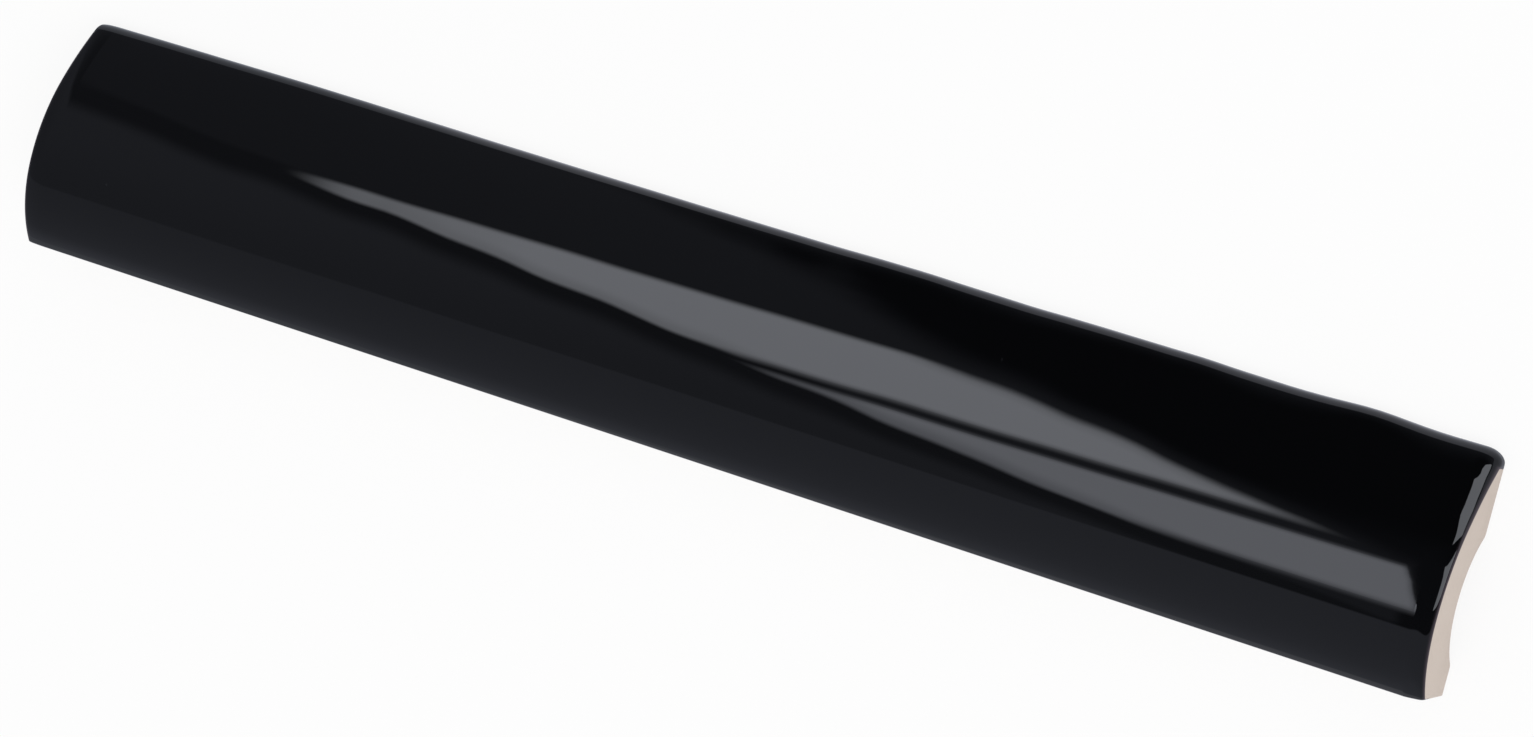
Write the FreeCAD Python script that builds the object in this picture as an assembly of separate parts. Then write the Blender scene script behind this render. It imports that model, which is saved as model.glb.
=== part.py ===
# Glazed ceramic bullnose trim tile: one pressed and fired strip, lying on its back.
#
# X runs along the strip, Y across it from the square butt edge to the rounded nose edge,
# and Z up from the bedding plane to the glazed face. The origin is the middle of the
# bedding plane. All sizes are in millimetres.
import FreeCAD
import Part

import math
import os

# Overall size of the strip
LENGTH = 200.0
WIDTH = 30.0
HEIGHT = 10.7

# Glazed face, from the square butt edge over the crest to the rounded nose edge
BUTT_HEIGHT = 6.3
CREST_TO_NOSE = 19.0
BROW_RADIUS = 22.0
BROW_TURN_DEG = 30.0
NOSE_RADIUS = 2.4
TOE_HEIGHT = 0.5

# Hollow in the back that keys into the adhesive, and the land beside it at the butt edge
BUTT_LAND = 4.1
CHANNEL_WIDTH = 15.7
CHANNEL_DEPTH = 3.8

# Softened edges
ARRIS_ROUND = 0.5
END_ROUND = 1.2
LIP_ROUND = 0.8

# Lengths below this count as nothing when edges are picked by their place
TOLERANCE = 0.01

# Places worked out from the sizes
BUTT_Y = -WIDTH / 2
NOSE_Y = WIDTH / 2
CREST_Y = NOSE_Y - CREST_TO_NOSE
CHANNEL_START_Y = BUTT_Y + BUTT_LAND
CHANNEL_END_Y = CHANNEL_START_Y + CHANNEL_WIDTH
CHANNEL_MIDDLE_Y = (CHANNEL_START_Y + CHANNEL_END_Y) / 2


def section_point(y, z):
    """A point of the cross-section, on the plane of the strip's first end."""
    return FreeCAD.Vector(-LENGTH / 2, y, z)


def arc_edge(start, middle, end):
    """A circular arc through three points."""
    return Part.Arc(start, middle, end).toShape()


def line_edge(start, end):
    """A straight edge between two points."""
    return Part.LineSegment(start, end).toShape()


def point_on_circle(centre_y, centre_z, radius, angle):
    """The section's point at an angle from the Y axis on a circle."""
    return section_point(centre_y + radius * math.cos(angle), centre_z + radius * math.sin(angle))


def shoulder_edge():
    """The arc that rises from the butt edge and levels out at the crest."""
    rise = HEIGHT - BUTT_HEIGHT
    run = CREST_Y - BUTT_Y
    radius = (run * run + rise * rise) / (2 * rise)
    centre_z = HEIGHT - radius
    start_angle = math.atan2(BUTT_HEIGHT - centre_z, -run)
    middle_angle = (start_angle + math.pi / 2) / 2
    return arc_edge(
        section_point(BUTT_Y, BUTT_HEIGHT),
        point_on_circle(CREST_Y, centre_z, radius, middle_angle),
        section_point(CREST_Y, HEIGHT),
    )


def slope_to_nose(start, start_normal, nose_centre):
    """The middle and end of the arc that leaves start square to its normal and meets the nose, and
    the nose's own normal where they meet."""
    from_nose = start - nose_centre
    overshoot = from_nose.dot(start_normal) - NOSE_RADIUS
    radius = (from_nose.dot(from_nose) - NOSE_RADIUS * NOSE_RADIUS) / (2 * overshoot)
    centre = start - start_normal * radius
    end_normal = (nose_centre - centre) * (1 / (radius - NOSE_RADIUS))
    middle = centre + (start_normal + end_normal).normalize() * radius
    return middle, nose_centre + end_normal * NOSE_RADIUS, end_normal


def fall_edges():
    """The brow arc from the crest, the slope tangent to it, and the nose arc down to the toe."""
    crest_angle = math.pi / 2
    slope_angle = crest_angle - math.radians(BROW_TURN_DEG)
    brow_z = HEIGHT - BROW_RADIUS
    brow_middle = point_on_circle(CREST_Y, brow_z, BROW_RADIUS, (crest_angle + slope_angle) / 2)
    slope_start = point_on_circle(CREST_Y, brow_z, BROW_RADIUS, slope_angle)
    slope_normal = FreeCAD.Vector(0, math.cos(slope_angle), math.sin(slope_angle))
    nose_centre = section_point(NOSE_Y - NOSE_RADIUS, TOE_HEIGHT)
    slope_middle, slope_end, nose_normal = slope_to_nose(slope_start, slope_normal, nose_centre)
    nose_angle = math.atan2(nose_normal.z, nose_normal.y)
    nose_middle = point_on_circle(nose_centre.y, nose_centre.z, NOSE_RADIUS, nose_angle / 2)
    return [
        arc_edge(section_point(CREST_Y, HEIGHT), brow_middle, slope_start),
        arc_edge(slope_start, slope_middle, slope_end),
        arc_edge(slope_end, nose_middle, section_point(NOSE_Y, TOE_HEIGHT)),
    ]


def back_edges():
    """The toe, the nose-side land, the arched channel, the butt-side land and the butt edge."""
    toe_top = section_point(NOSE_Y, TOE_HEIGHT)
    toe_foot = section_point(NOSE_Y, 0)
    channel_end = section_point(CHANNEL_END_Y, 0)
    channel_crown = section_point(CHANNEL_MIDDLE_Y, CHANNEL_DEPTH)
    channel_start = section_point(CHANNEL_START_Y, 0)
    butt_foot = section_point(BUTT_Y, 0)
    butt_top = section_point(BUTT_Y, BUTT_HEIGHT)
    return [
        line_edge(toe_top, toe_foot),
        line_edge(toe_foot, channel_end),
        arc_edge(channel_end, channel_crown, channel_start),
        line_edge(channel_start, butt_foot),
        line_edge(butt_foot, butt_top),
    ]


def runs_along_strip(edge, y, z):
    """Whether an edge is the full-length one at this place of the section."""
    return all(
        abs(vertex.Y - y) < TOLERANCE and abs(vertex.Z - z) < TOLERANCE for vertex in edge.Vertexes
    )


def bounds_glazed_end(edge):
    """Whether an edge is on an end of the strip, along the face, the butt edge or the toe."""
    box = edge.BoundBox
    on_end = box.XLength < TOLERANCE and abs(abs(box.Center.x) - LENGTH / 2) < TOLERANCE
    on_back = box.ZMax < TOLERANCE
    across_channel = CHANNEL_START_Y - LIP_ROUND - TOLERANCE < box.YMin
    across_channel = across_channel and box.YMax < CHANNEL_END_Y + LIP_ROUND + TOLERANCE
    in_channel = across_channel and box.ZMax < CHANNEL_DEPTH + TOLERANCE
    return on_end and not on_back and not in_channel


def round_edges(solid, radius, is_wanted):
    """The solid with every edge that is_wanted accepts rounded to a radius."""
    return solid.makeFillet(radius, [edge for edge in solid.Edges if is_wanted(edge)])


def is_arris(edge):
    """Whether an edge is the corner between the glazed face and the butt edge."""
    return runs_along_strip(edge, BUTT_Y, BUTT_HEIGHT)


def is_channel_lip(edge):
    """Whether an edge is one of the two mouths of the channel."""
    return runs_along_strip(edge, CHANNEL_START_Y, 0) or runs_along_strip(edge, CHANNEL_END_Y, 0)


def bullnose_tile():
    """The whole strip: its section drawn out along its length, with its edges softened."""
    outline = Part.Wire([shoulder_edge(), *fall_edges(), *back_edges()])
    strip = Part.Face(outline).extrude(FreeCAD.Vector(LENGTH, 0, 0))
    strip = round_edges(strip, ARRIS_ROUND, is_arris)
    strip = round_edges(strip, LIP_ROUND, is_channel_lip)
    return round_edges(strip, END_ROUND, bounds_glazed_end)


os.makedirs("parts", exist_ok=True)
tile = bullnose_tile()
tile.exportStep("parts/bullnose_tile.step")
print("bullnose_tile", "valid", tile.isValid(), "solids", len(tile.Solids), "volume", round(tile.Volume, 1))
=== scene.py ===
"""Studio scene of a glazed ceramic bullnose trim strip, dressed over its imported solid.

The strip lies on its back: X runs along it, Y across it from the square butt edge to the rounded nose
edge, and Z up from the bed to the glazed face. Lengths are in metres, and angles are in radians unless a
name or a docstring says degrees.
"""

import logging
import math
from dataclasses import dataclass, replace
from enum import Enum
from typing import Any, Callable, Mapping, Optional, Union

import bmesh
import bpy
from mathutils import Euler, Matrix, Vector


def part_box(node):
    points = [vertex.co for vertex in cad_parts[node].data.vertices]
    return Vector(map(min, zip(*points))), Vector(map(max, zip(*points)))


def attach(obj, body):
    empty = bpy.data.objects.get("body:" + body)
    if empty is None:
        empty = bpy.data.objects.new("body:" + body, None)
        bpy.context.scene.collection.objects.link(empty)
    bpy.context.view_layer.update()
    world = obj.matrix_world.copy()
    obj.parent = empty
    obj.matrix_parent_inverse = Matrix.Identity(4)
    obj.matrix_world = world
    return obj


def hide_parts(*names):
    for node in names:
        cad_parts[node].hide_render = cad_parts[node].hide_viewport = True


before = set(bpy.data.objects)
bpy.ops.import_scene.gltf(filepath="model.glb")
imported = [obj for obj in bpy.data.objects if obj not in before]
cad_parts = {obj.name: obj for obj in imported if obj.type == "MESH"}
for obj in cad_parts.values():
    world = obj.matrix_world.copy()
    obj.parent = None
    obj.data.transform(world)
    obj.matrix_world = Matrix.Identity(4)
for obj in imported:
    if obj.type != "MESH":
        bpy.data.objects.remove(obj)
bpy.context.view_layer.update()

NODE = "bullnose_tile"
BODY = "root"
SLOT = "glazed_ceramic"
PHOTO_WIDTH = 1534.0
SENSOR_WIDTH_MM = 36.0
TINY = 1e-6
MIDDLE = 0.5

LOG = logging.getLogger(NODE)

Colour = tuple[float, float, float]
Point = tuple[float, float, float]
Span = tuple[float, float]
Number = Union[float, "Wire"]

BLACK: Colour = (0.0, 0.0, 0.0)
WHITE: Colour = (1.0, 1.0, 1.0)


class Rays(Enum):
    """The kinds of light ray that a stage surface can tell apart."""

    CAMERA = "Is Camera Ray"
    GLOSSY = "Is Glossy Ray"
    TRANSMISSION = "Is Transmission Ray"


class Patch(Enum):
    """The parts of the strip's surface that a hand-made waviness is limited to."""

    FACE = "glazed_face"
    NOSE = "nose_edge"
    LUMPS = "nose_lumps"
    ROLL = "rolled_ends"


class Push(Enum):
    """The ways in which a waviness moves the surface."""

    OUTWARD = "NORMAL"
    ACROSS = "Y"


class Wire:
    """A shader socket that takes part in Python expressions, each of which adds Math nodes."""

    def __init__(self, sheet: "NodeSheet", socket: Optional[bpy.types.NodeSocket]) -> None:
        """Wraps an output socket of a node sheet, or nothing for a node without outputs."""
        self.sheet = sheet
        self.socket = socket

    def _math(self, operation: str, first: Number, second: Number) -> "Wire":
        """The result of a Math node on two numbers or wires."""
        return self.sheet.node("ShaderNodeMath", {"operation": operation}, {0: first, 1: second})

    def __add__(self, other: Number) -> "Wire":
        """This value plus another."""
        return self._math("ADD", self, other)

    __radd__ = __add__

    def __sub__(self, other: Number) -> "Wire":
        """This value minus another."""
        return self._math("SUBTRACT", self, other)

    def __rsub__(self, other: Number) -> "Wire":
        """A number minus this value."""
        return self._math("SUBTRACT", other, self)

    def __mul__(self, other: Number) -> "Wire":
        """This value times another."""
        return self._math("MULTIPLY", self, other)

    __rmul__ = __mul__

    def __truediv__(self, other: Number) -> "Wire":
        """This value divided by another."""
        return self._math("DIVIDE", self, other)

    def __pow__(self, other: Number) -> "Wire":
        """This value to a power."""
        return self._math("POWER", self, other)

    def __abs__(self) -> "Wire":
        """This value without its sign."""
        return self._math("ABSOLUTE", self, 0.0)

    def at_most(self, other: Number) -> "Wire":
        """The lesser of this value and another."""
        return self._math("MINIMUM", self, other)

    def at_least(self, other: Number) -> "Wire":
        """The greater of this value and another."""
        return self._math("MAXIMUM", self, other)


class NodeSheet:
    """The node tree of one material or of the world."""

    MIX_VALUES = (2, 3)
    MIX_COLOURS = (6, 7)
    MIXED_COLOUR = 2

    def __init__(self, owner: Union[bpy.types.Material, bpy.types.World]) -> None:
        """Clears a node tree and takes it over.

        Args:
            owner: The material or the world that the tree belongs to.
        """
        owner.use_nodes = True
        self.tree = owner.node_tree
        self.tree.nodes.clear()

    def node(
        self,
        kind: str,
        settings: Optional[Mapping[str, Any]] = None,
        sockets: Optional[Mapping[Union[int, str], Any]] = None,
        output: Union[int, str] = 0,
    ) -> Wire:
        """Adds any node.

        Args:
            kind: The node's type.
            settings: Its properties, set before its sockets.
            sockets: Values or wires for its inputs, by name or number.
            output: The output to return.

        Returns:
            The wire of that output.
        """
        made = self.tree.nodes.new(kind)
        for name, value in (settings or {}).items():
            setattr(made, name, value)
        for name, value in (sockets or {}).items():
            if isinstance(value, Wire):
                self.tree.links.new(value.socket, made.inputs[name])
            else:
                made.inputs[name].default_value = value
        if not made.outputs:
            return Wire(self, None)
        return Wire(self, made.outputs[output])

    def mix(self, share: Number, first: Union[Colour, Wire], second: Union[Colour, Wire]) -> Wire:
        """Mixes two colours.

        Args:
            share: How far the mix goes from the first to the second, from 0 to 1.
            first: The colour at 0.
            second: The colour at 1.

        Returns:
            The mixed colour.
        """
        sockets = {0: share}
        for number, colour in zip(self.MIX_COLOURS, (first, second)):
            sockets[number] = colour if isinstance(colour, Wire) else (*colour, 1.0)
        return self.node("ShaderNodeMix", {"data_type": "RGBA"}, sockets, self.MIXED_COLOUR)

    def blend(self, share: Number, first: Number, second: Number) -> Wire:
        """The value that goes from first to second as share goes from 0 to 1."""
        sockets = {0: share, self.MIX_VALUES[0]: first, self.MIX_VALUES[1]: second}
        return self.node("ShaderNodeMix", {"data_type": "FLOAT"}, sockets)

    def step(self, value: Number, start: float, end: float) -> Wire:
        """A smooth step from 0 where a value is at start to 1 where it is at end."""
        settings = {"interpolation_type": "SMOOTHSTEP"}
        return self.node("ShaderNodeMapRange", settings, {0: value, 1: start, 2: end})

    def noise(self, place: Wire, scale: float, detail: float) -> Wire:
        """Noise between 0 and 1 at a place, with so many waves to the metre."""
        sockets = {"Vector": place, "Scale": scale, "Detail": detail}
        return self.node("ShaderNodeTexNoise", sockets=sockets)

    def place(self) -> Wire:
        """The place on the piece, in its own coordinates."""
        return self.node("ShaderNodeTexCoord", output="Object")

    def axes(self, vector: Wire) -> tuple[Wire, Wire, Wire]:
        """The three parts of a vector."""
        split = self.node("ShaderNodeSeparateXYZ", sockets={0: vector}).socket.node
        return tuple(Wire(self, socket) for socket in split.outputs)

    def seen_by(self, *kinds: Rays) -> Wire:
        """Tells some kinds of ray from all others.

        Args:
            kinds: The kinds to pick out.

        Returns:
            1 for those kinds, and 0 for all others.
        """
        seen = self.node("ShaderNodeLightPath", output=kinds[0].value)
        for kind in kinds[1:]:
            seen = seen.at_least(self.node("ShaderNodeLightPath", output=kind.value))
        return seen

    def surface(self, shader: Wire, owner_kind: str = "Material") -> None:
        """Ends the sheet in a surface shader."""
        self.node(f"ShaderNodeOutput{owner_kind}", sockets={"Surface": shader})


class MeshBench:
    """One mesh held in edit mode, with the hand tools that shape it."""

    SEED_SIZE = 0.001
    SPIN_AXIS = (-1.0, 0.0, 0.0)

    def __init__(self, name: str) -> None:
        """Starts an empty mesh and leaves it in edit mode.

        Args:
            name: The piece's name.
        """
        bpy.ops.object.select_all(action="DESELECT")
        bpy.ops.mesh.primitive_plane_add(size=self.SEED_SIZE)
        self.piece = bpy.context.active_object
        self.piece.name = name
        self.piece.data.name = name
        self.tip = Vector()
        bpy.ops.object.mode_set(mode="EDIT")
        bpy.ops.mesh.select_mode(type="VERT")
        bpy.ops.mesh.delete(type="VERT")

    def set_pen(self, place: Vector) -> None:
        """Puts down one new vertex and leaves it selected, as the tip of a line to draw.

        Args:
            place: Where the line starts.
        """
        bpy.ops.mesh.select_all(action="DESELECT")
        bpy.ops.mesh.primitive_plane_add(size=self.SEED_SIZE, location=place)
        bpy.ops.mesh.merge(type="CENTER")
        self.tip = place

    def draw_line(self, end: Vector, steps: int) -> None:
        """Draws a straight line from the tip.

        Args:
            end: Where the line goes.
            steps: How many equal steps it has.
        """
        stride = (end - self.tip) / steps
        for _ in range(steps):
            bpy.ops.mesh.extrude_region_move(TRANSFORM_OT_translate={"value": stride})
        self.tip = end

    def draw_arc(self, centre: Vector, turn: float, steps: int) -> None:
        """Draws an arc from the tip by turning it about a centre, from Y towards Z."""
        bpy.ops.mesh.spin(steps=steps, angle=turn, center=centre, axis=self.SPIN_AXIS)
        self.tip = centre + Matrix.Rotation(turn, 3, "X") @ (self.tip - centre)

    def select_edges(self, wanted: Callable[[Vector, Vector], bool]) -> None:
        """Selects some edges, and nothing else.

        Args:
            wanted: Tells from an edge's two ends whether it is one of them.
        """
        bpy.ops.mesh.select_mode(type="EDGE")
        bpy.ops.mesh.select_all(action="DESELECT")
        shape = bmesh.from_edit_mesh(self.piece.data)
        for edge in shape.edges:
            edge.select_set(wanted(edge.verts[0].co, edge.verts[1].co))
        bmesh.update_edit_mesh(self.piece.data)

    def close(self) -> bpy.types.Object:
        """Turns the faces outwards and leaves edit mode.

        Returns:
            The piece.
        """
        bpy.ops.mesh.select_all(action="SELECT")
        bpy.ops.mesh.normals_make_consistent(inside=False)
        bpy.ops.mesh.select_all(action="DESELECT")
        bpy.ops.object.mode_set(mode="OBJECT")
        return self.piece


@dataclass(frozen=True)
class Arc:
    """A circular stretch of the cross-section: its centre, radius and two angles from Y towards Z."""

    centre_y: float
    centre_z: float
    radius: float
    start: float
    end: float
    steps: int

    def point(self, x: float, angle: float) -> Vector:
        """The point of the arc at an angle, so far along the strip."""
        across = self.centre_y + self.radius * math.cos(angle)
        return Vector((x, across, self.centre_z + self.radius * math.sin(angle)))


@dataclass(frozen=True)
class EndRoll:
    """How one end of the strip rolls over, and what its outline loses by the end face.

    Attributes:
        side: 1 at the right end, and -1 at the left.
        run: How far along the strip the roll starts before the end face.
        butt: How far the butt edge draws in.
        butt_drop: How far the arris on the butt edge drops, measured on that edge.
        crest: How far the crest drops.
        crest_shift: How far the crest moves towards the butt edge.
        nose: How far the nose edge draws in.
        steps: How many outlines the roll has after its first.
        lead: How far before the roll one more full outline stands, to keep the shading of the body even.
    """

    side: float
    run: float
    butt: float
    butt_drop: float
    crest: float
    crest_shift: float
    nose: float
    steps: int = 9
    lead: float = 0.00015

    def stations(self, length: float) -> list[tuple[float, float]]:
        """The outlines to draw at this end.

        Args:
            length: The strip's full length.

        Returns:
            Where each outline stands along the strip and its share of the roll, from the body outwards.
        """
        root = length / 2 - self.run
        turns = [math.pi / 2 * step / self.steps for step in range(self.steps + 1)]
        rolled = [(self.side * (root + self.run * math.sin(turn)), 1 - math.cos(turn)) for turn in turns]
        return [(self.side * (root - self.lead), 0.0)] + rolled

    def past_root(self, x: float, length: float) -> float:
        """How far a place is along the roll: 0 at its root, 1 at the end, and negative before it."""
        return (self.side * x - (length / 2 - self.run)) / self.run


LEFT_END = EndRoll(
    side=-1.0, run=0.0028, butt=0.0001, butt_drop=0.0, crest=0.0004, crest_shift=0.0, nose=0.0002
)
RIGHT_END = EndRoll(
    side=1.0, run=0.0025, butt=0.00051, butt_drop=0.0002, crest=0.00094, crest_shift=0.0007, nose=0.00155
)


@dataclass(frozen=True)
class TileSection:
    """The strip's cross-section: the convex face, the lands of its back and the channel between them."""

    butt_y: float
    nose_y: float
    height: float
    butt_height: float = 0.0063
    crest_to_nose: float = 0.019
    brow_radius: float = 0.022
    brow_turn_deg: float = 30.0
    nose_radius: float = 0.0024
    toe_height: float = 0.0005
    butt_land: float = 0.0041
    channel_width: float = 0.0157
    channel_depth: float = 0.0038
    arris_round: float = 0.0005
    lip_round: float = 0.0008
    arris_steps: int = 6
    shoulder_steps: int = 22
    brow_steps: int = 20
    slope_steps: int = 14
    nose_steps: int = 12
    channel_steps: int = 24
    lip_steps: int = 4
    land_steps: int = 4

    @property
    def crest_y(self) -> float:
        """Where the face is highest."""
        return self.nose_y - self.crest_to_nose

    def shoulder_arcs(self) -> list[Arc]:
        """The face on the butt side of the crest.

        Returns:
            The rounded arris at the butt edge, and the shoulder that rises from it to the crest.
        """
        run = self.crest_y - self.butt_y
        rise = self.height - self.butt_height
        radius = (run * run + rise * rise) / (2 * rise)
        centre_z = self.height - radius
        arris_y = self.butt_y + self.arris_round
        reach = radius - self.arris_round
        arris_z = centre_z + math.sqrt(reach * reach - (self.crest_y - arris_y) ** 2)
        meet = math.atan2(arris_z - centre_z, arris_y - self.crest_y)
        return [
            Arc(arris_y, arris_z, self.arris_round, math.pi, meet, self.arris_steps),
            Arc(self.crest_y, centre_z, radius, meet, math.pi / 2, self.shoulder_steps),
        ]

    def fall_arcs(self) -> list[Arc]:
        """The face on the nose side of the crest.

        Returns:
            The brow beyond the crest, the slope tangent to it, and the nose down to the toe.
        """
        turned = math.pi / 2 - math.radians(self.brow_turn_deg)
        brow_z = self.height - self.brow_radius
        brow = Arc(self.crest_y, brow_z, self.brow_radius, math.pi / 2, turned, self.brow_steps)
        start = brow.point(0.0, turned)
        normal = Vector((0.0, math.cos(turned), math.sin(turned)))
        nose_centre = Vector((0.0, self.nose_y - self.nose_radius, self.toe_height))
        from_nose = start - nose_centre
        overshoot = from_nose.dot(normal) - self.nose_radius
        radius = (from_nose.length_squared - self.nose_radius**2) / (2 * overshoot)
        centre = start - normal * radius
        meet = math.atan2(nose_centre.z - centre.z, nose_centre.y - centre.y)
        return [
            brow,
            Arc(centre.y, centre.z, radius, turned, meet, self.slope_steps),
            Arc(nose_centre.y, nose_centre.z, self.nose_radius, meet, 0.0, self.nose_steps),
        ]

    def channel_arcs(self) -> list[Arc]:
        """The channel in the back.

        Returns:
            The rounded lip on the nose side, the arched channel, and the lip on the butt side.
        """
        half = self.channel_width / 2
        radius = (half * half + self.channel_depth**2) / (2 * self.channel_depth)
        middle_y = self.butt_y + self.butt_land + half
        centre_z = self.channel_depth - radius
        lip_rise = self.lip_round - centre_z
        lip_run = math.sqrt((radius + self.lip_round) ** 2 - lip_rise**2)
        lean = math.atan2(lip_rise, lip_run)
        foot = -math.pi / 2
        return [
            Arc(middle_y + lip_run, self.lip_round, self.lip_round, foot, lean - math.pi, self.lip_steps),
            Arc(middle_y, centre_z, radius, lean, math.pi - lean, self.channel_steps),
            Arc(middle_y - lip_run, self.lip_round, self.lip_round, -lean, foot, self.lip_steps),
        ]

    def rolled(self, roll: EndRoll, share: float) -> "TileSection":
        """The outline as it is on a rolled end.

        Args:
            roll: What the outline loses by the end face.
            share: How much of that it has lost, from 0 to 1.

        Returns:
            The smaller section, with its channel in the same place.
        """
        return replace(
            self,
            butt_y=self.butt_y + roll.butt * share,
            nose_y=self.nose_y - roll.nose * share,
            height=self.height - roll.crest * share,
            butt_height=self.butt_height - roll.butt_drop * share,
            crest_to_nose=self.crest_to_nose - (roll.nose - roll.crest_shift) * share,
            brow_radius=self.brow_radius - roll.nose * share,
            nose_radius=self.nose_radius - roll.nose * share,
            butt_land=self.butt_land - roll.butt * share,
        )

    def draw(self, bench: MeshBench, x: float) -> None:
        """Draws the outline as one closed line.

        Args:
            bench: The mesh to draw in.
            x: The place along the strip.
        """
        front = self.shoulder_arcs() + self.fall_arcs()
        back = self.channel_arcs()
        foot = Vector((x, self.butt_y, 0.0))
        bench.set_pen(foot)
        bench.draw_line(front[0].point(x, front[0].start), self.land_steps)
        for arc in front:
            bench.draw_arc(Vector((x, arc.centre_y, arc.centre_z)), arc.end - arc.start, arc.steps)
        bench.draw_line(Vector((x, self.nose_y, 0.0)), 1)
        bench.draw_line(back[0].point(x, back[0].start), self.land_steps)
        for arc in back:
            bench.draw_arc(Vector((x, arc.centre_y, arc.centre_z)), arc.end - arc.start, arc.steps)
        bench.draw_line(foot, self.land_steps)


@dataclass(frozen=True)
class GlazeFinish:
    """Black gloss glaze with a few pinholes, which thins to a dull purple edge where it stops.

    The radius of a pinhole is a share of the spacing that its scale gives, and the peel is a share of the
    height of the biscuit's grain.
    """

    body: Colour = (0.0009, 0.0010, 0.0013)
    thin_edge: Colour = (0.06, 0.045, 0.055)
    roughness: float = 0.013
    ior: float = 1.5
    edge_width: float = 0.0005
    pinhole_scale: float = 55.0
    pinhole_radius: float = 0.012
    pinhole_share: float = 0.22
    peel_scale: float = 1100.0
    peel_detail: float = 1.0
    peel_share: float = 0.002


@dataclass(frozen=True)
class BiscuitFinish:
    """Bare fired clay, pale and matt, with a fine grain."""

    pale: Colour = (0.645, 0.563, 0.50)
    dark: Colour = (0.585, 0.507, 0.445)
    roughness: float = 0.85
    cloud_scale: float = 180.0
    cloud_detail: float = 4.0
    grain_scale: float = 2600.0
    grain_detail: float = 3.0
    grain_height: float = 0.00004
    grain_strength: float = 0.5


@dataclass(frozen=True)
class GlazeLine:
    """Where the glaze stops: short of the end faces, below the arris and under the nose.

    Attributes:
        end_depth: How deep in the glaze the root of a rolled end lies. The depth runs out at the end face.
        end_gap: How much of that depth is bare beside the end face.
        nose_wrap: The width of the margin along the nose edge that is glazed right out to the end faces.
        butt_line: How high above the bed the glaze stops on the butt edge.
        fall_start_y: Where that height starts to fall on the way to the nose.
        fall_end_y: Where it has fallen to the bed.
        wander: How far the line strays to and fro.
        wander_scale: How many times to the metre it strays.
        wander_detail: How ragged it is.
        softness: The width over which the glaze gives way to biscuit.
    """

    end_depth: float = 0.001
    end_gap: float = 0.00006
    nose_wrap: float = 0.0021
    butt_line: float = 0.0047
    fall_start_y: float = 0.005
    fall_end_y: float = 0.0126
    wander: float = 0.0005
    wander_scale: float = 260.0
    wander_detail: float = 2.0
    softness: float = 0.0001


@dataclass(frozen=True)
class CeramicMaterial:
    """The strip's one material: glaze and bare biscuit, parted by the glaze line."""

    length: float
    nose_y: float
    ends: tuple[EndRoll, EndRoll]
    glaze: GlazeFinish = GlazeFinish()
    biscuit: BiscuitFinish = BiscuitFinish()
    line: GlazeLine = GlazeLine()

    def build(self) -> bpy.types.Material:
        """Makes the material.

        Returns:
            The finished material.
        """
        glaze, biscuit = self.glaze, self.biscuit
        material = bpy.data.materials.new(SLOT)
        sheet = NodeSheet(material)
        place = sheet.place()
        depth = self._glaze_depth(sheet, place)
        glazed = sheet.step(depth, 0.0, self.line.softness)
        thin = 1.0 - sheet.step(depth, 0.0, glaze.edge_width)
        clouds = sheet.noise(place, biscuit.cloud_scale, biscuit.cloud_detail)
        clay = sheet.mix(clouds, biscuit.dark, biscuit.pale)
        coat = sheet.mix(thin, glaze.body, glaze.thin_edge)
        grain = sheet.noise(place, biscuit.grain_scale, biscuit.grain_detail) * (1.0 - glazed)
        peel = sheet.noise(place, glaze.peel_scale, glaze.peel_detail) * glaze.peel_share
        relief = grain + (peel - self._pinholes(sheet, place)) * glazed
        bump = sheet.node(
            "ShaderNodeBump",
            sockets={"Strength": biscuit.grain_strength, "Distance": biscuit.grain_height, "Height": relief},
        )
        shader = sheet.node(
            "ShaderNodeBsdfPrincipled",
            sockets={
                "Base Color": sheet.mix(glazed, clay, coat),
                "Roughness": sheet.blend(glazed, biscuit.roughness, glaze.roughness),
                "Normal": bump,
                "IOR": glaze.ior,
            },
        )
        sheet.surface(shader)
        return material

    def _pinholes(self, sheet: NodeSheet, place: Wire) -> Wire:
        """The few pinholes in the glaze.

        Args:
            sheet: The material's node sheet.
            place: The place on the strip.

        Returns:
            1 in the middle of a pinhole, and 0 outside them.
        """
        sockets = {"Vector": place, "Scale": self.glaze.pinhole_scale}
        distance = sheet.node("ShaderNodeTexVoronoi", {"voronoi_dimensions": "2D"}, sockets, "Distance")
        draw, _, _ = sheet.axes(Wire(sheet, distance.socket.node.outputs["Color"]))
        chosen = sheet.step(self.glaze.pinhole_share - draw, 0.0, TINY)
        return sheet.step(self.glaze.pinhole_radius - distance, 0.0, self.glaze.pinhole_radius) * chosen

    def _glaze_depth(self, sheet: NodeSheet, place: Wire) -> Wire:
        """How far a place lies inside the glaze line.

        Args:
            sheet: The material's node sheet.
            place: The place on the strip.

        Returns:
            The depth in metres, which is negative on bare biscuit.
        """
        line = self.line
        x, y, z = sheet.axes(place)
        fall = line.butt_line / (line.fall_end_y - line.fall_start_y)
        parting = (line.butt_line - (y - line.fall_start_y) * fall).at_most(line.butt_line)
        from_back = z - parting
        wander = (sheet.noise(place, line.wander_scale, line.wander_detail) - MIDDLE) * line.wander
        from_end = y - (self.nose_y - line.nose_wrap) + wander
        reaches = []
        for end in self.ends:
            beyond = x * end.side - (self.length / 2 - end.run)
            past = (beyond / end.run).at_least(0.0).at_most(1.0)
            depth = (1.0 - past * past) ** 0.5 * line.end_depth
            reaches.append(depth - line.end_gap - beyond.at_most(0.0))
        from_end = from_end.at_least(reaches[0].at_most(reaches[1]))
        return from_end.at_most(from_back + wander)


def ease(share: float) -> float:
    """A smooth step from 0 at 0 to 1 at 1."""
    held = min(1.0, max(0.0, share))
    return held * held * (3 - 2 * held)


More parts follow.
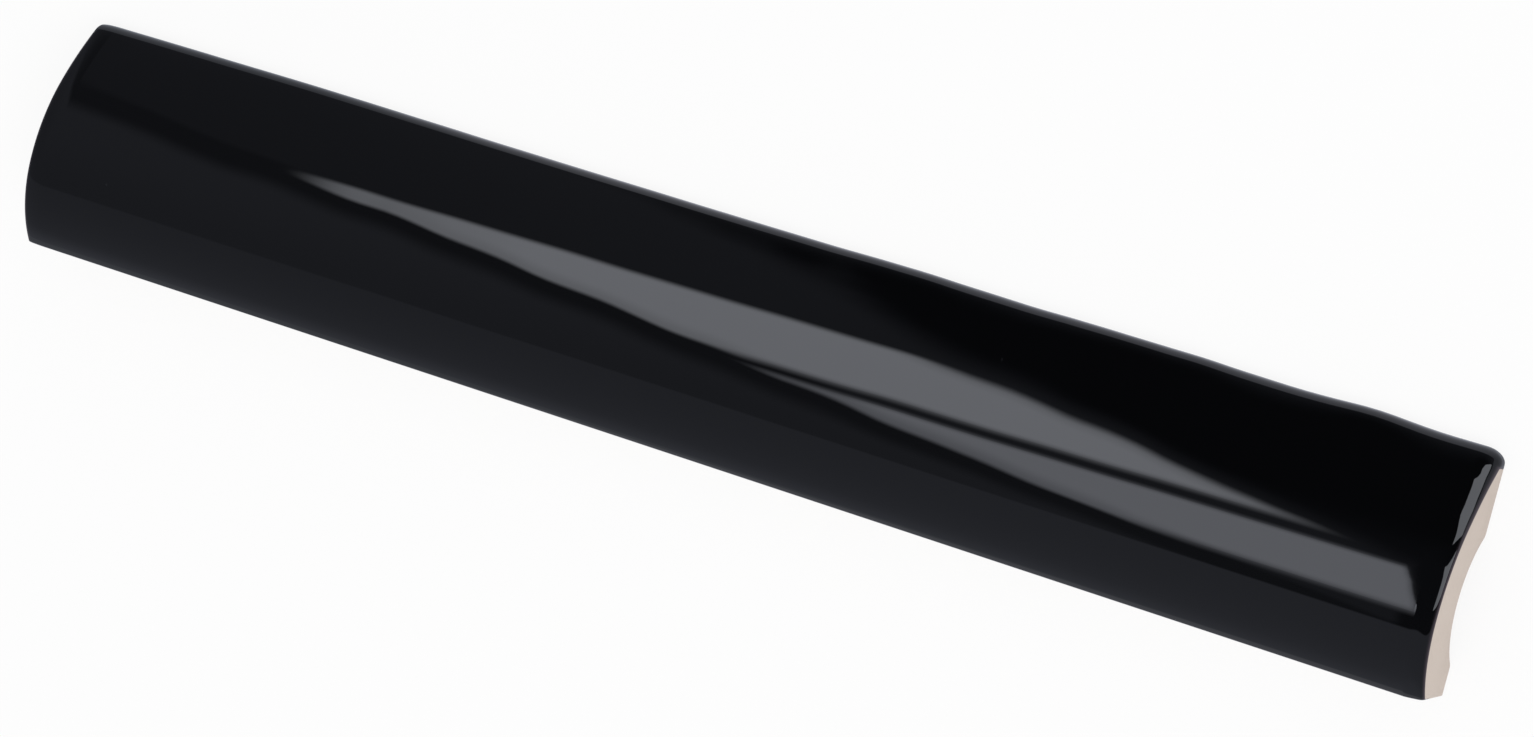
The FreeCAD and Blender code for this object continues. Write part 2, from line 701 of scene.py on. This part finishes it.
def hump(share: float) -> float:
    """A smooth rise from 0 at 0 to 1 halfway, and back to 0 at 1."""
    return 4 * share * (1 - share)


@dataclass(frozen=True)
class Ripple:
    """A slight hand-made waviness of one patch of the surface."""

    patch: Patch
    push: Push
    height: float
    wavelength: float = 0.0
    octaves: int = 1

    def press_into(self, piece: bpy.types.Object) -> None:
        """Displaces the patch and applies the change to the mesh.

        The displacement is smooth noise, or where no wavelength is given, the patch's own weights alone.

        Args:
            piece: The strip, with a vertex group for the patch.
        """
        ripple = piece.modifiers.new(f"{self.patch.value}_ripple", "DISPLACE")
        ripple.mid_level = 0.0
        if self.wavelength:
            clouds = bpy.data.textures.new(ripple.name, "CLOUDS")
            clouds.noise_scale = self.wavelength
            clouds.noise_depth = self.octaves
            ripple.texture = clouds
            ripple.texture_coords = "LOCAL"
            ripple.mid_level = MIDDLE
        ripple.direction = self.push.value
        ripple.strength = self.height
        ripple.vertex_group = self.patch.value
        bpy.context.view_layer.objects.active = piece
        bpy.ops.object.modifier_apply(modifier=ripple.name)


@dataclass(frozen=True)
class Lump:
    """A place where the nose edge stands out a little: where it is, how far it spreads and how much."""

    LIMIT = 0.0004

    x: float
    spread: float
    height: float

    def height_at(self, x: float) -> float:
        """How far the lump stands out at a place along the strip."""
        return self.height * math.exp(-(((x - self.x) / self.spread) ** 2))


@dataclass(frozen=True)
class BullnoseTile:
    """The whole strip: its section drawn at stations along its length and bridged, with rolled ends.

    Attributes:
        section: The full cross-section of the body.
        length: The strip's full length.
        ends: The rolls of its left and right ends.
        body_cuts: How many cuts the body has between the two rolls.
        smooth_deg: The sharpest fold that is shaded smooth, in degrees.
        face_rest: How far from the ends the face stays true.
        face_fade: How far from there its waviness takes to grow.
        butt_fade: How far from the butt edge it takes to grow.
        nose_rest: How far from the ends the nose edge stays true.
        nose_fade: How far from there its waviness takes to grow.
        calm_share: How much of its waviness the nose edge has on the left.
        calm_x: Where that calm stretch ends.
        wavy_x: Where the nose edge has all its waviness.
        ripples: The waviness of each patch.
        lumps: The places where the nose edge stands out.
    """

    section: TileSection
    length: float
    ends: tuple[EndRoll, EndRoll]
    body_cuts: int = 159
    smooth_deg: float = 40.0
    face_rest: float = 0.003
    face_fade: float = 0.03
    butt_fade: float = 0.0075
    nose_rest: float = 0.0024
    nose_fade: float = 0.006
    calm_share: float = 0.15
    calm_x: float = -0.01
    wavy_x: float = 0.04
    ripples: tuple[Ripple, ...] = (
        Ripple(Patch.FACE, Push.OUTWARD, height=0.00008, wavelength=0.025),
        Ripple(Patch.NOSE, Push.ACROSS, height=0.0003, wavelength=0.012),
        Ripple(Patch.LUMPS, Push.ACROSS, height=Lump.LIMIT),
        Ripple(Patch.ROLL, Push.OUTWARD, height=0.00024, wavelength=0.004),
    )
    lumps: tuple[Lump, ...] = (
        Lump(x=-0.066, spread=0.022, height=0.00017),
        Lump(x=0.023, spread=0.010, height=0.0002),
        Lump(x=0.051, spread=0.009, height=0.00016),
        Lump(x=0.062, spread=0.005, height=0.00016),
        Lump(x=0.084, spread=0.005, height=0.00033),
    )

    def build(self) -> bpy.types.Object:
        """Models the strip.

        Returns:
            The finished piece, at the origin.
        """
        bench = MeshBench(f"{NODE}_glazed")
        for end in self.ends:
            for x, share in end.stations(self.length):
                self.section.rolled(end, share).draw(bench, x)
        bpy.ops.mesh.select_all(action="SELECT")
        bpy.ops.mesh.remove_doubles(threshold=TINY)
        bpy.ops.mesh.select_mode(type="EDGE")
        bpy.ops.mesh.select_all(action="SELECT")
        bpy.ops.mesh.bridge_edge_loops(type="SINGLE")
        bench.select_edges(lambda start, end: abs(start.x - end.x) > self.length / 2)
        bpy.ops.mesh.subdivide(number_cuts=self.body_cuts)
        for roll in self.ends:
            bench.select_edges(
                lambda start, end: min(roll.side * start.x, roll.side * end.x) > self.length / 2 - TINY
            )
            bpy.ops.mesh.edge_face_add()
        piece = bench.close()
        self._mark_patches(piece)
        for ripple in self.ripples:
            ripple.press_into(piece)
        bpy.ops.object.shade_smooth_by_angle(angle=math.radians(self.smooth_deg))
        return piece

    def _mark_patches(self, piece: bpy.types.Object) -> None:
        """Weights the vertices of the patches that ripples move, fading them out towards the ends.

        Args:
            piece: The strip.
        """
        groups = {patch: piece.vertex_groups.new(name=patch.value) for patch in Patch}
        _, right_end = self.ends
        back_height = self.section.channel_depth + self.section.lip_round
        nose_start = self.section.nose_y - 2 * self.section.nose_radius
        for vertex in piece.data.vertices:
            x, y, z = vertex.co
            from_end = self.length / 2 - abs(x)
            past_root = right_end.past_root(x, self.length)
            weights: dict[Patch, float] = {}
            if z > back_height:
                inward = ease((y - self.section.butt_y) / self.butt_fade)
                weights[Patch.FACE] = ease((from_end - self.face_rest) / self.face_fade) * inward
            if y > nose_start:
                outward = ease((y - nose_start) / (self.section.nose_y - nose_start))
                share = ease((from_end - self.nose_rest) / self.nose_fade) * outward
                wavy = ease((x - self.calm_x) / (self.wavy_x - self.calm_x))
                weights[Patch.NOSE] = share * (self.calm_share + (1 - self.calm_share) * wavy)
                weights[Patch.LUMPS] = share * sum(lump.height_at(x) for lump in self.lumps) / Lump.LIMIT
            if past_root > 0.0 and z > self.section.lip_round:
                weights[Patch.ROLL] = hump(past_root)
            for patch, weight in weights.items():
                groups[patch].add([vertex.index], weight, "REPLACE")


def hide_from_view(stage_object: bpy.types.Object) -> None:
    """Leaves a stage object to gloss reflections alone.

    Args:
        stage_object: The card or dome.
    """
    stage_object.visible_camera = False
    stage_object.visible_diffuse = False
    stage_object.visible_transmission = False
    stage_object.visible_shadow = False


@dataclass(frozen=True)
class Card:
    """A flat glowing card that the gloss reflects, and that the camera doesn't see."""

    name: str
    middle: Point
    turn_deg: Point
    width: float
    height: float
    radiance: Colour = (2.4, 2.5, 2.7)
    soft_edge: float = 0.004

    def build(self) -> bpy.types.Object:
        """Sets up the card.

        Returns:
            The card.
        """
        bpy.ops.object.select_all(action="DESELECT")
        turn = Euler([math.radians(angle) for angle in self.turn_deg], "XYZ")
        bpy.ops.mesh.primitive_plane_add(size=1.0, location=self.middle, rotation=turn)
        card = bpy.context.active_object
        card.name = self.name
        card.scale = (self.width, self.height, 1.0)
        card.data.materials.append(self._material())
        hide_from_view(card)
        return card

    def _material(self) -> bpy.types.Material:
        """An even glow that fades out at the card's rim.

        Returns:
            The card's material.
        """
        material = bpy.data.materials.new(self.name)
        sheet = NodeSheet(material)
        across, along, _ = sheet.axes(sheet.node("ShaderNodeTexCoord", output="UV"))
        from_side = (MIDDLE - abs(across - MIDDLE)) * self.width
        from_top = (MIDDLE - abs(along - MIDDLE)) * self.height
        shown = sheet.step(from_side.at_most(from_top), 0.0, self.soft_edge)
        clear = sheet.node("ShaderNodeBsdfTransparent")
        glow = sheet.node("ShaderNodeEmission", sockets={"Color": (*self.radiance, 1.0)})
        sheet.surface(sheet.node("ShaderNodeMixShader", sockets={0: shown, 1: clear, 2: glow}))
        return material


@dataclass(frozen=True)
class Window:
    """A softbox as the gloss shows it on the surround.

    Attributes:
        corners: Its corners in order, each by how far aside and how far leaning it is seen, in degrees.
        soft_deg: The width over which its light starts, for the edge from each corner to the next.
        rim_deg: The width over which its light then grows to its full, for the same edges.
        rim: Its light at the edges.
        full: Its light inside.
    """

    corners: tuple[Span, ...]
    soft_deg: tuple[float, ...]
    rim_deg: tuple[float, ...]
    rim: Colour
    full: Colour

    def shares(self, sheet: NodeSheet, aside: Wire, lean: Wire) -> tuple[Wire, Wire]:
        """Where the window shows.

        Args:
            sheet: The surround's node sheet.
            aside: How far aside a direction is.
            lean: How far it leans.

        Returns:
            How much of the window shows there, and how much of its full light it has, from its rim inwards.
        """
        middle = [sum(axis) / len(self.corners) for axis in zip(*self.corners)]
        shown: Number = 1.0
        full: Number = 1.0
        ends = self.corners[1:] + self.corners[:1]
        for start, end, soft, rim in zip(self.corners, ends, self.soft_deg, self.rim_deg):
            along = Vector((end[0] - start[0], end[1] - start[1])).normalized()
            inwards = Vector((-along.y, along.x))
            if inwards.dot(Vector((middle[0] - start[0], middle[1] - start[1]))) < 0:
                inwards.negate()
            depth = (aside - start[0]) * inwards.x + (lean - start[1]) * inwards.y
            shown = sheet.step(depth, -soft / 2, soft / 2) * shown
            full = sheet.step(depth, 0.0, rim) * full
        return shown, full


@dataclass(frozen=True)
class Surround:
    """The room that the gloss reflects, as levels of grey and bright windows on a dome about the strip.

    A direction on the dome is given by how far it stands aside along X, and by how far it leans from
    straight up towards the nose edge, both in degrees. Each span gives the two directions between which
    one level gives way to the next.

    Attributes:
        radius: The dome's radius.
        segments: How many faces the dome has round it.
        rings: How many it has from pole to pole.
        tint: The colour of a level of 1.
        front_left: The level low on the butt side, at the left.
        front_right: The level there at the right.
        front_span: Where the left gives way to the right there, aside.
        front_edge: Where that low part ends, in lean.
        horizon: The level at the foot of the room.
        horizon_span: Where the foot ends, in lean.
        low_middle: The level in the middle of the room, at its foot.
        high_middle: The level there at its top.
        middle_span: Where the foot gives way to the top there, in lean.
        border_deg: The lean, at nothing aside, of the slanting border of the middle of the room.
        border_slope: How that lean changes with each degree aside.
        border_soft: Half the width of that border.
        gap: The level of the dark gap above the border.
        gap_span: Where the gap ends, measured above the border.
        upper_left: The level above the gap, at the left.
        upper_right: The level there at the right.
        upper_span: Where the left gives way to the right there, aside.
        upper_start: Where the part above the gap starts, aside.
        left: The level far to the left.
        left_span: Where that gives way to the rest, aside.
        right_low: The level of the dark right side, low down.
        right: The level there higher up.
        right_rise: Where the low part gives way to the higher one there, in lean.
        right_slope: How much the border of the right side slants.
        right_span: Where the right side starts along that slant.
        right_edge: Where it starts at the latest, aside.
        back: The level low on the nose side.
        back_span: Where that starts, in lean.
        windows: The softboxes.
    """

    radius: float = 4.0
    segments: int = 64
    rings: int = 32
    tint: Colour = (1.0, 1.05, 1.25)
    front_left: float = 0.27
    front_right: float = 0.335
    front_span: Span = (-32.0, -15.5)
    front_edge: Span = (-29.0, -27.0)
    horizon: float = 0.39
    horizon_span: Span = (-95.0, -72.0)
    low_middle: float = 0.2
    high_middle: float = 0.235
    middle_span: Span = (-25.0, 22.0)
    border_deg: float = -120.0
    border_slope: float = -4.913
    border_soft: float = 6.0
    gap: float = 0.09
    gap_span: Span = (14.0, 19.0)
    upper_left: float = 0.13
    upper_right: float = 0.15
    upper_span: Span = (-31.5, -24.6)
    upper_start: Span = (-32.7, -31.9)
    left: float = 0.2
    left_span: Span = (-42.7, -32.7)
    right_low: float = 0.05
    right: float = 0.022
    right_rise: Span = (20.0, 40.0)
    right_slope: float = 0.1484
    right_span: Span = (-14.5, -12.3)
    right_edge: Span = (-15.75, -15.55)
    back: float = 0.15
    back_span: Span = (74.0, 92.0)
    windows: tuple[Window, ...] = (
        Window(
            corners=((-29.25, 35.0), (-29.2, 41.3), (-21.7, 47.2), (-17.0, 20.2), (-24.5, 12.6)),
            soft_deg=(1.2, 3.0, 1.0, 4.5, 0.7),
            rim_deg=(2.8, 2.5, 1.2, 0.1, 2.0),
            rim=(2.3, 2.38, 2.6),
            full=(2.94, 3.04, 3.34),
        ),
        Window(
            corners=((-23.8, 7.7), (-19.1, -14.2), (-15.42, -12.7), (-15.71, 13.3)),
            soft_deg=(0.8, 9.0, 0.02, 4.0),
            rim_deg=(2.0, 0.1, 0.1, 0.1),
            rim=(1.6, 1.66, 1.86),
            full=(2.35, 2.43, 2.7),
        ),
    )

    def build(self) -> bpy.types.Object:
        """Sets up the dome.

        Returns:
            The dome.
        """
        bpy.ops.object.select_all(action="DESELECT")
        bpy.ops.mesh.primitive_uv_sphere_add(
            segments=self.segments, ring_count=self.rings, radius=self.radius
        )
        dome = bpy.context.active_object
        dome.name = "surround"
        dome.data.materials.append(self._material())
        hide_from_view(dome)
        return dome

    def _material(self) -> bpy.types.Material:
        """A glow that changes with the direction in which the room is seen from the strip.

        Returns:
            The dome's material.
        """
        material = bpy.data.materials.new("surround")
        sheet = NodeSheet(material)
        x, y, z = sheet.axes(sheet.place())
        lean = sheet.node("ShaderNodeMath", {"operation": "ARCTAN2"}, {0: y, 1: z}) * math.degrees(1.0)
        aside = x * math.degrees(1.0 / self.radius)
        colour = sheet.mix(self._level(sheet, aside, lean), BLACK, self.tint)
        for window in self.windows:
            shown, full = window.shares(sheet, aside, lean)
            colour = sheet.mix(shown, colour, sheet.mix(full, window.rim, window.full))
        sheet.surface(sheet.node("ShaderNodeEmission", sockets={"Color": colour}))
        return material

    def _level(self, sheet: NodeSheet, aside: Wire, lean: Wire) -> Wire:
        """The room's own level, without the windows.

        Args:
            sheet: The dome's node sheet.
            aside: How far aside a direction is.
            lean: How far it leans.

        Returns:
            The level there, from 0 to 1.
        """
        above = lean - (aside * self.border_slope + self.border_deg)
        level = sheet.blend(sheet.step(lean, *self.middle_span), self.low_middle, self.high_middle)
        level = sheet.blend(sheet.step(above, -self.border_soft, self.border_soft), level, self.gap)
        upper = sheet.blend(sheet.step(aside, *self.upper_span), self.upper_left, self.upper_right)
        upper = sheet.blend(sheet.step(aside, *self.upper_start), self.gap, upper)
        level = sheet.blend(sheet.step(above, *self.gap_span), level, upper)
        level = sheet.blend(sheet.step(aside, *self.left_span), self.left, level)
        beyond = aside + lean * self.right_slope
        right = sheet.step(beyond, *self.right_span).at_least(sheet.step(aside, *self.right_edge))
        dark = sheet.blend(sheet.step(lean, *self.right_rise), self.right_low, self.right)
        level = sheet.blend(right, level, dark)
        level = sheet.blend(sheet.step(lean, *self.back_span), level, self.back)
        front = sheet.blend(sheet.step(aside, *self.front_span), self.front_left, self.front_right)
        front = sheet.blend(sheet.step(lean, *self.horizon_span), self.horizon, front)
        return sheet.blend(sheet.step(lean, *self.front_edge), front, level)


@dataclass(frozen=True)
class Studio:
    """The floor, white to the camera with painted shade and light for gloss, the even light and what the
    gloss reflects.

    Attributes:
        floor_size: The floor's length and width.
        floor_drop: How far below the strip's bed the floor lies.
        floor_colour: The floor's own colour under the lamps.
        floor_gloss_painted_shade: The floor as gloss shows it: painted shade, a darker bluish grey for the
            floor shaded beside the strip.
        nose_gloss_painted_light: The same beside a stretch of the nose edge, painted brighter as a painted
            reflection on that stretch.
        nose_painted_light_rise: Where that painted stretch starts along the strip.
        nose_painted_light_fall: Where it ends.
        floor_white: How much of the floor's look is plain white, the rest being lit and shadowed.
        ambient: The even light from all sides.
        key_place: Where the lamp hangs, facing the strip.
        key_size: The lamp's width.
        key_power: Its power in watts.
        key_colour: Its colour.
        cards: The two low cards beyond the right end, which its rolled glaze catches.
    """

    floor_size: float = 12.0
    floor_drop: float = 0.0001
    floor_colour: Colour = (0.96, 0.96, 0.96)
    # Painted shade and painted light: the floor's look to gloss, darker bluish grey overall and brighter
    # beside the nose edge.
    floor_gloss_painted_shade: Colour = (0.4, 0.43, 0.51)
    nose_gloss_painted_light: Colour = (0.62, 0.64, 0.74)
    nose_painted_light_rise: Span = (-0.07, -0.035)
    nose_painted_light_fall: Span = (0.09, 0.11)
    floor_white: float = 0.86
    ambient: Colour = (0.75, 0.75, 0.76)
    key_place: Point = (0.7, -0.5, 0.9)
    key_size: float = 0.6
    key_power: float = 4.0
    key_colour: Colour = (1.0, 0.98, 0.95)
    cards: tuple[Card, ...] = (
        Card(
            name="low_card_nose",
            middle=(0.497, 0.546, 0.192),
            turn_deg=(-158.5, 4.7, 104.9),
            width=0.544,
            height=0.582,
        ),
        Card(
            name="low_card_end",
            middle=(0.616, 0.081, 0.304),
            turn_deg=(150.4, -34.6, -64.5),
            width=0.286,
            height=0.540,
        ),
    )

    def build(self) -> None:
        """Sets up the floor, the world, the lamp, the room and the cards."""
        self._floor()
        self._world()
        self._key()
        Surround().build()
        for card in self.cards:
            card.build()

    def _floor(self) -> None:
        """Lays the floor: white to the camera, painted shade and light to gloss, and shadowed by the strip.
        """
        bpy.ops.object.select_all(action="DESELECT")
        bpy.ops.mesh.primitive_plane_add(size=self.floor_size, location=(0.0, 0.0, -self.floor_drop))
        floor = bpy.context.active_object
        floor.name = "floor"
        material = bpy.data.materials.new("floor")
        sheet = NodeSheet(material)
        paper = sheet.node("ShaderNodeBsdfDiffuse", sockets={"Color": (*self.floor_colour, 1.0)})
        x, _, _ = sheet.axes(sheet.place())
        # Painted light: to gloss the floor shows a darker bluish painted shade, and a brighter painted
        # stretch beside the nose edge.
        painted_light_beside_nose = sheet.step(x, *self.nose_painted_light_rise) * (1.0 - sheet.step(x, *self.nose_painted_light_fall))
        gloss = sheet.mix(painted_light_beside_nose, self.floor_gloss_painted_shade, self.nose_gloss_painted_light)
        shown = sheet.mix(sheet.seen_by(Rays.GLOSSY), WHITE, gloss)
        white = sheet.node("ShaderNodeEmission", sockets={"Color": shown})
        share = sheet.seen_by(Rays.CAMERA, Rays.GLOSSY, Rays.TRANSMISSION) * self.floor_white
        sheet.surface(sheet.node("ShaderNodeMixShader", sockets={0: share, 1: paper, 2: white}))
        floor.data.materials.append(material)

    def _world(self) -> None:
        """Fills the room with even light, and shows white behind everything."""
        world = bpy.data.worlds.new("studio")
        sheet = NodeSheet(world)
        seen = sheet.seen_by(Rays.CAMERA, Rays.GLOSSY, Rays.TRANSMISSION)
        colour = sheet.mix(seen, self.ambient, WHITE)
        sheet.surface(sheet.node("ShaderNodeBackground", sockets={"Color": colour}), "World")
        bpy.context.scene.world = world

    def _key(self) -> None:
        """Hangs the large soft lamp at the strip's right end."""
        bpy.ops.object.light_add(type="AREA", location=self.key_place)
        key = bpy.context.active_object
        key.name = "key_lamp"
        key.data.size = self.key_size
        key.data.energy = self.key_power
        key.data.color = self.key_colour
        key.rotation_euler = Vector(self.key_place).to_track_quat("Z", "Y").to_euler()
        key.visible_glossy = False


@dataclass(frozen=True)
class PhotoCamera:
    """The camera at the photograph's place, with its focal length in photograph pixels."""

    place: Point = (0.27086, 0.08594, 0.56879)
    turn_deg: Point = (-1.2597, 26.138, 15.497)
    focal_px: float = 5115.7
    near: float = 0.01
    far: float = 50.0

    def build(self) -> bpy.types.Object:
        """Sets up the camera and makes it the scene's own.

        Returns:
            The camera.
        """
        turn = Euler([math.radians(angle) for angle in self.turn_deg], "XYZ")
        bpy.ops.object.camera_add(location=self.place, rotation=turn)
        camera = bpy.context.active_object
        camera.name = "photo_camera"
        camera.data.sensor_width = SENSOR_WIDTH_MM
        camera.data.lens = self.focal_px / PHOTO_WIDTH * SENSOR_WIDTH_MM
        camera.data.clip_start = self.near
        camera.data.clip_end = self.far
        bpy.context.scene.camera = camera
        return camera


def main() -> None:
    """Builds the strip, the studio and the camera in order."""
    logging.basicConfig(level=logging.INFO, format="%(name)s: %(message)s")
    bpy.context.scene.view_settings.view_transform = "Standard"
    low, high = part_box(NODE)
    length = high.x - low.x
    section = TileSection(butt_y=low.y, nose_y=high.y, height=high.z)
    ends = (LEFT_END, RIGHT_END)
    piece = BullnoseTile(section, length, ends).build()
    piece.data.materials.append(CeramicMaterial(length, section.nose_y, ends).build())
    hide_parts(NODE)
    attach(piece, BODY)
    LOG.info("%s: %d vertices, %d faces", piece.name, len(piece.data.vertices), len(piece.data.polygons))
    Studio().build()
    PhotoCamera().build()


if __name__ == "__main__":
    main()
